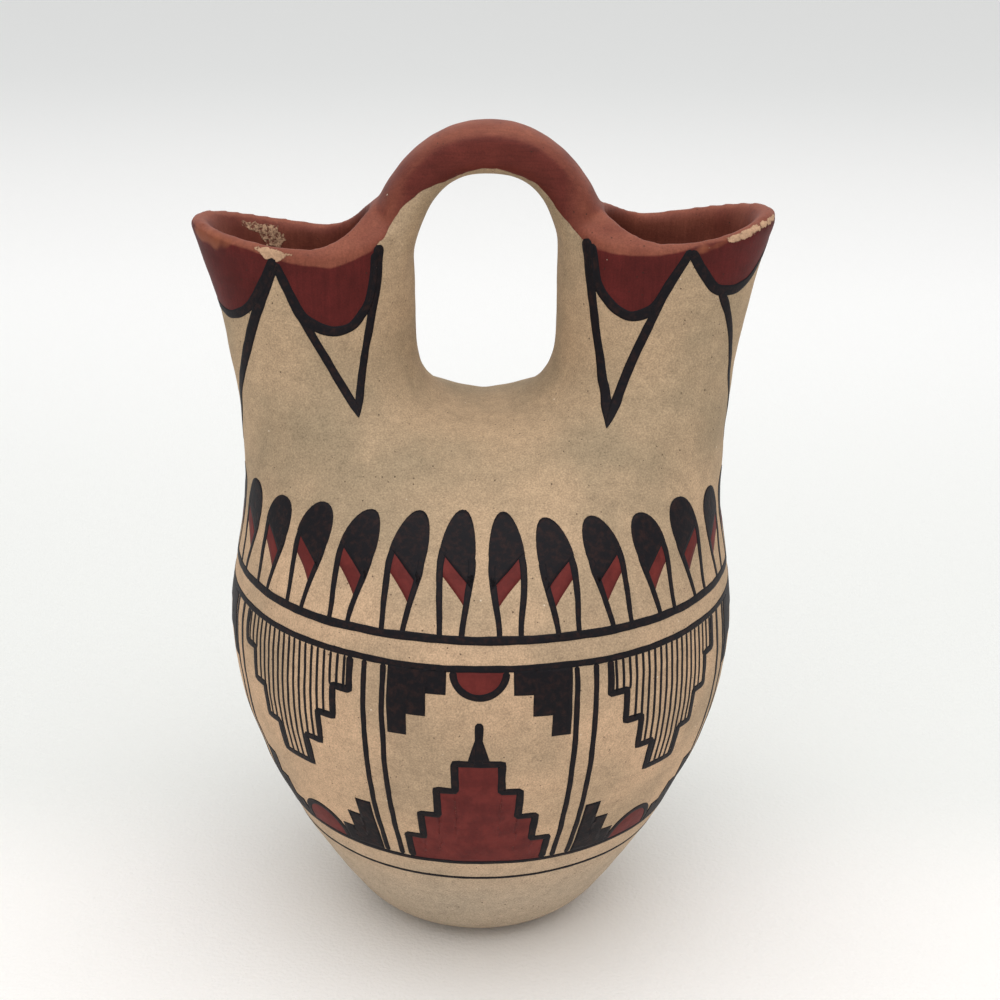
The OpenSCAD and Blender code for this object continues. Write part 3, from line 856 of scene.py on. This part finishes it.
class VASE_OT_band_paint(bpy.types.Operator):
    """Paint the belly's band: rings, panels, stepped pyramids, hatching and half-discs"""

    bl_idname = "vase.band_paint"
    bl_label = "Belly band"

    def execute(self, context):
        made = context.scene.vase_paint
        wall, black, red = films(made, 23, 31)
        line, fine = made.outline * 1000, made.hatching * 1000

        def draw(points, width, smooth=False):
            path = curved(points, smooth, 24)
            black.stroke([wall.belly(s, z) for s, z in path[:, :2]], np.full(len(path), width))

        def ring(z, width, start):
            s = np.linspace(0, AROUND, 721) + start
            turns = [Vector((math.cos(k / BAND_RADIUS) * 2, math.sin(k / BAND_RADIUS) * 2, z)) for k in s]
            path = [wall.belly(k, z + 0.25 * noise.noise(turn)) for k, turn in zip(s, turns)]
            black.stroke(path, np.full(len(s), width), blunt=False)

        ring(BAND_TOP, 1.9, 120)
        ring(BAND_INNER_TOP, 1.5, 150)
        ring(BAND_FOOT, 1.2, 100)
        ring(BASE_RING, 0.85, 140)
        top, foot = BAND_INNER_TOP - 0.6, BAND_FOOT + 0.5
        for k in range(PANELS):
            s = k * AROUND / PANELS
            edge = s + AROUND / PANELS / 2
            for aside in (-2.35, 2.35):
                post = [(edge + aside, foot), (edge + aside * 0.97, (top + foot) / 2), (edge + aside, top)]
                draw(post, 1.3)
            if k % 2 == 0:
                # A red pyramid that stands, with a spear on its top
                widths = (19, 14.5, 10, 5.5)
                steps = [(w, STEP_RISE * (4 - i)) for i, w in enumerate(widths[::-1])]
                red.area(*stepped(s, foot, 1, steps), wall.belly)
                draw(steps_line(s, foot, 1, widths), line)
                peak = foot + STEP_RISE * len(widths)
                draw([(s, peak), (s, peak + 11)], line)
                share = np.linspace(0, 1, 9)
                spear = [np.stack([s + way * 2.8 * (1 - share), peak + 9.5 * share], 1) for way in (-1, 1)]
                black.area(*spear, wall.belly)
                z, up, radius, count, ends = top, -1, 6, 13, (4.5, 9, 13.5)
            else:
                # A hatched pyramid that hangs
                widths = (18.5, 14, 9.5, 5)
                draw(steps_line(s, top, -1, widths), 1.7)
                for x in np.arange(-17.1, 17.2, 1.9):
                    deep = sum(STEP_RISE for w in widths if abs(x) < w - 0.8)
                    draw([(s + x, top), (s + x * 0.99, top - deep)], fine)
                z, up, radius, count, ends = foot, 1, 8, 15, (4.5, 8.5, 12.5)
            # Opposite, a red half-disc between black stepped corners
            red.area(*half_disc(s, z, radius, up), wall.belly)
            arc = np.linspace(0, math.pi, count)
            draw([(s + radius * math.cos(t), z + up * radius * math.sin(t)) for t in arc], 1.6, True)
            for way in (-1, 1):
                steps = [(-way * end, tall) for end, tall in zip(ends, CORNER_HEIGHTS)]
                black.area(*stepped(s + way * CORNER_OUT, z, up, steps, False), wall.belly)
        black.piece("band_black", black_paint(made))
        red.piece("band_red", red_paint(made))
        return {"FINISHED"}


class VASE_OT_feather_paint(bpy.types.Operator):
    """Paint the row of upright feathers above the belly's band"""

    bl_idname = "vase.feather_paint"
    bl_label = "Feather row"

    def execute(self, context):
        made = context.scene.vase_paint
        wall, black, red = films(made, 41, 53)
        chance = np.random.default_rng(5)
        for k in range(FEATHERS):
            middle = (k + 0.5) * AROUND / FEATHERS
            way = 1 if k < FEATHERS / 2 else -1
            lean, grow = chance.uniform(-0.03, 0.03), 1 + chance.uniform(-0.03, 0.03)
            wide, tall = FEATHER_HALF_W * grow, FEATHER_H * grow
            crest = wide * 1.35
            shoulder = tall - crest

            def put(s, z):
                return wall.belly(middle + s + lean * (z - BAND_TOP), z)

            def half(up):
                return ROOT_HALF_W + (wide - ROOT_HALF_W) * ease(np.asarray(up, float) / shoulder)

            # A black tip with a round crown over a slanting line, a red stripe under it, and two edges
            x = np.cos(np.linspace(math.pi, 0, 15))
            slant = BAND_TOP + shoulder - 3.0 + way * TIP_SLANT * x
            crown = BAND_TOP + shoulder + crest * (1 - np.abs(x) ** 2.2) ** 0.5
            black.area(np.stack([x * half(slant - BAND_TOP), slant], 1), np.stack([x * wide, crown], 1), put)
            low = slant - 3.8
            red.area(np.stack([x * (half(low - BAND_TOP) - 0.5), low], 1),
                     np.stack([x * (half(slant - BAND_TOP) - 0.5), slant + 0.4], 1), put)
            for aside in (-1, 1):
                tip = max(shoulder - 0.8, shoulder - 2.4 + way * TIP_SLANT * aside)
                up = np.linspace(0.2, tip, 24)
                out = aside * (half(up) - 0.75 - 0.3 * ease((up - tip + 3) / 3))
                line = [put(s, BAND_TOP + u) for s, u in zip(out, up)]
                black.stroke(line, np.linspace(1.15, 1.6, len(up)))
        black.piece("feather_black", black_paint(made))
        red.piece("feather_red", red_paint(made))
        return {"FINISHED"}


class VASE_OT_stage(bpy.types.Operator):
    """Set up the paper floor, the soft lamps, the room's light and the camera"""

    bl_idname = "vase.stage"
    bl_label = "Stage"

    def execute(self, context):
        made, scene = context.scene.vase_stage, context.scene
        # One flat sheet, 8 m wide, that reaches behind all that the camera sees
        side = np.linspace(-4, 4, 9)
        points = [(float(x), float(y) + 1.5, 0.0) for y in side for x in side]
        first = [j * 9 + i for j in range(8) for i in range(8)]
        sheet = bpy.data.meshes.new("paper")
        sheet.from_pydata(points, [], [(k, k + 1, k + 10, k + 9) for k in first])
        sheet.materials.append(studio_paper(made))
        paper = placed("paper", sheet)

        for name, power, place, size in (
                ("top_lamp", made.top_lamp, (0.05, -0.15, 1.1), 1.3),
                ("front_lamp", made.front_lamp, (-0.35, -1.3, 0.75), 1.1)):
            light = bpy.data.lights.new(name, "AREA")
            light.energy, light.size, light.shape = power, size, "SQUARE"
            way = Vector((0, 0, 0.1)) - Vector(place)
            turned = way.to_track_quat("-Z", "Y").to_matrix().to_4x4()
            placed(name, light).matrix_world = Matrix.Translation(place) @ turned

        light = bpy.data.lights.new("ceiling", "SUN")
        light.energy, light.angle = made.ceiling, math.radians(80)
        placed("ceiling", light).rotation_euler = (math.radians(10), 0, 0)

        # The room is light to the camera and in reflections, and dimmer as a lamp
        world = bpy.data.worlds.new("room")
        world.use_nodes = True
        tree = world.node_tree
        tree.nodes.clear()
        path = node(tree, "ShaderNodeLightPath")
        seen = 0.0
        for ray in ("Is Camera Ray", "Is Glossy Ray", "Is Transmission Ray"):
            seen = node(tree, "ShaderNodeMath", {0: seen, 1: path.outputs[ray]}, operation="MAXIMUM")
        strength = node(tree, "ShaderNodeMapRange", {0: seen, 3: made.room, 4: 0.95})
        light = node(tree, "ShaderNodeBackground", {"Color": (1, 1, 1), "Strength": strength})
        node(tree, "ShaderNodeOutputWorld", {"Surface": light})
        scene.world = world

        # The camera stands before the vase and looks down on it, leaning a little as the photograph does
        lens = bpy.data.cameras.new("camera")
        lens.lens, lens.sensor_width, lens.shift_x = made.lens, 36, 0.0175
        lens.clip_start, lens.clip_end = 0.01, 50
        camera = placed("camera", lens)
        p, r = made.pitch, made.roll
        ahead, up = Vector((0, math.cos(p), -math.sin(p))), Vector((0, math.sin(p), math.cos(p)))
        right = Vector((1, 0, 0))
        across, upright = right * math.cos(r) + up * math.sin(r), up * math.cos(r) - right * math.sin(r)
        turned = Matrix((across, upright, -ahead)).transposed()
        camera.matrix_world = Matrix.Translation((0, -0.41975, 0.26794)) @ turned.to_4x4()
        scene.camera = camera
        scene.view_settings.view_transform = "Standard"
        return {"FINISHED"}


class VASE_PT_making(bpy.types.Panel):
    """Steps that make the vase, in order"""

    bl_idname = "VASE_PT_making"
    bl_label = "Wedding vase"
    bl_space_type = "VIEW_3D"
    bl_region_type = "UI"
    bl_category = "Vase"

    def draw(self, context):
        column = self.layout.column()
        for step in STEPS:
            column.operator(step.bl_idname)
        for group in (context.scene.vase_clay, context.scene.vase_paint, context.scene.vase_stage):
            box = self.layout.box()
            for name in group.__annotations__:
                box.prop(group, name)


STEPS = (VASE_OT_clay_body, VASE_OT_rim_paint, VASE_OT_band_paint, VASE_OT_feather_paint, VASE_OT_stage)
CLASSES = (VaseClayProperties, VasePaintProperties, VaseStageProperties, *STEPS, VASE_PT_making)


def register():
    for made in CLASSES:
        bpy.utils.register_class(made)
    bpy.types.Scene.vase_clay = PointerProperty(type=VaseClayProperties)
    bpy.types.Scene.vase_paint = PointerProperty(type=VasePaintProperties)
    bpy.types.Scene.vase_stage = PointerProperty(type=VaseStageProperties)


def unregister():
    for name in ("vase_clay", "vase_paint", "vase_stage"):
        delattr(bpy.types.Scene, name)
    for made in reversed(CLASSES):
        bpy.utils.unregister_class(made)


def main():
    register()
    bpy.ops.vase.clay_body()
    bpy.ops.vase.rim_paint()
    bpy.ops.vase.band_paint()
    bpy.ops.vase.feather_paint()
    bpy.ops.vase.stage()


if __name__ == "__main__":
    main()
